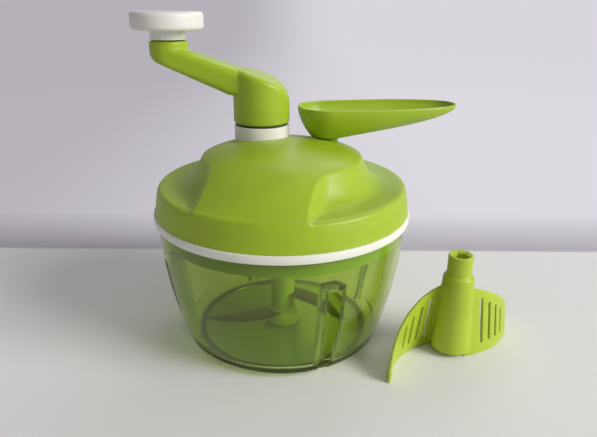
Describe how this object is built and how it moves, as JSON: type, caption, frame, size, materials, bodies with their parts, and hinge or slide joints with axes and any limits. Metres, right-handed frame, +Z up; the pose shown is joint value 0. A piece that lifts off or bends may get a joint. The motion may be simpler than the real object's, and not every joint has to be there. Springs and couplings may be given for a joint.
{
  "type": "crank food chopper",
  "caption": "Hand cranked food chopper: clear tapered bowl, geared lid with sloping crank and flat knob, boat-shaped funnel, bladed insert and a spare paddle insert.",
  "frame": {"origin": "on the table, on the bowl's axis", "axes": "+Z up along the bowl's axis, front towards -Y"},
  "size_m": [0.2536, 0.165, 0.208],
  "materials": {
    "bowl_clear": "glossy tinted clear",
    "lid_green": "satin gloss",
    "insert_green": "satin gloss",
    "knob_white": "satin gloss",
    "seal_white": "soft matte",
    "foot_rubber": "soft matte",
    "gear_plastic": "matte",
    "steel": "plain turned steel",
    "blade_steel": "ground steel"
  },
  "bodies": {
    "bowl": {"bowl": "bowl_clear", "foot_ring": "foot_rubber", "pivot_pin": "steel"},
    "lid": {"lid_cover": "lid_green", "rim_seal": "seal_white", "gear_plate": "lid_green", "plate_screws": "steel", "crank_collar": "knob_white", "output_bush": "gear_plastic"},
    "crank": {"crank_shaft": "gear_plastic", "crank_circlip": "steel", "drive_gear": "gear_plastic", "crank_washer": "foot_rubber", "crank_screw": "steel", "crank_arm": "lid_green", "knob_pin": "steel", "knob_washer": "steel", "knob_screw": "steel"},
    "knob": {"knob": "knob_white", "knob_cap": "knob_white"},
    "output": {"output_shaft": "gear_plastic", "pinion": "gear_plastic", "output_circlip": "steel"},
    "blade_insert": {"blade_hub": "insert_green", "blade_lower": "blade_steel", "blade_middle": "blade_steel", "blade_upper": "blade_steel"},
    "funnel": {"funnel": "lid_green"},
    "paddle": {"paddle_insert": "insert_green"}
  },
  "joints": [
    {"name": "lid_lift", "type": "slide", "parent": "bowl", "child": "lid", "axis": [0, 0, 1], "range_m": [0, 0.12]},
    {"name": "crank_spin", "type": "hinge", "parent": "lid", "child": "crank", "pos_m": [-0.01397, 0.02193, 0.12], "axis": [0, 0, 1], "continuous": true},
    {"name": "knob_spin", "type": "hinge", "parent": "crank", "child": "knob", "pos_m": [-0.07197, 0.02193, 0.2], "axis": [0, 0, 1], "continuous": true},
    {"name": "output_spin", "type": "hinge", "parent": "lid", "child": "output", "pos_m": [0, 0, 0.1], "axis": [0, 0, 1], "continuous": true},
    {"name": "blade_spin", "type": "hinge", "parent": "bowl", "child": "blade_insert", "pos_m": [0, 0, 0.03], "axis": [0, 0, 1], "continuous": true},
    {"name": "funnel_lift", "type": "slide", "parent": "lid", "child": "funnel", "axis": [0, 0, 1], "range_m": [0, 0.008]},
    {"name": "paddle_lift", "type": "slide", "parent": "bowl", "child": "paddle", "axis": [0, 0, 1], "range_m": [0, 0.1]}
  ],
  "couplings": [
    {"joint": "output_spin", "follows": "crank_spin", "ratio": -3},
    {"joint": "blade_spin", "follows": "crank_spin", "ratio": -3}
  ]
}
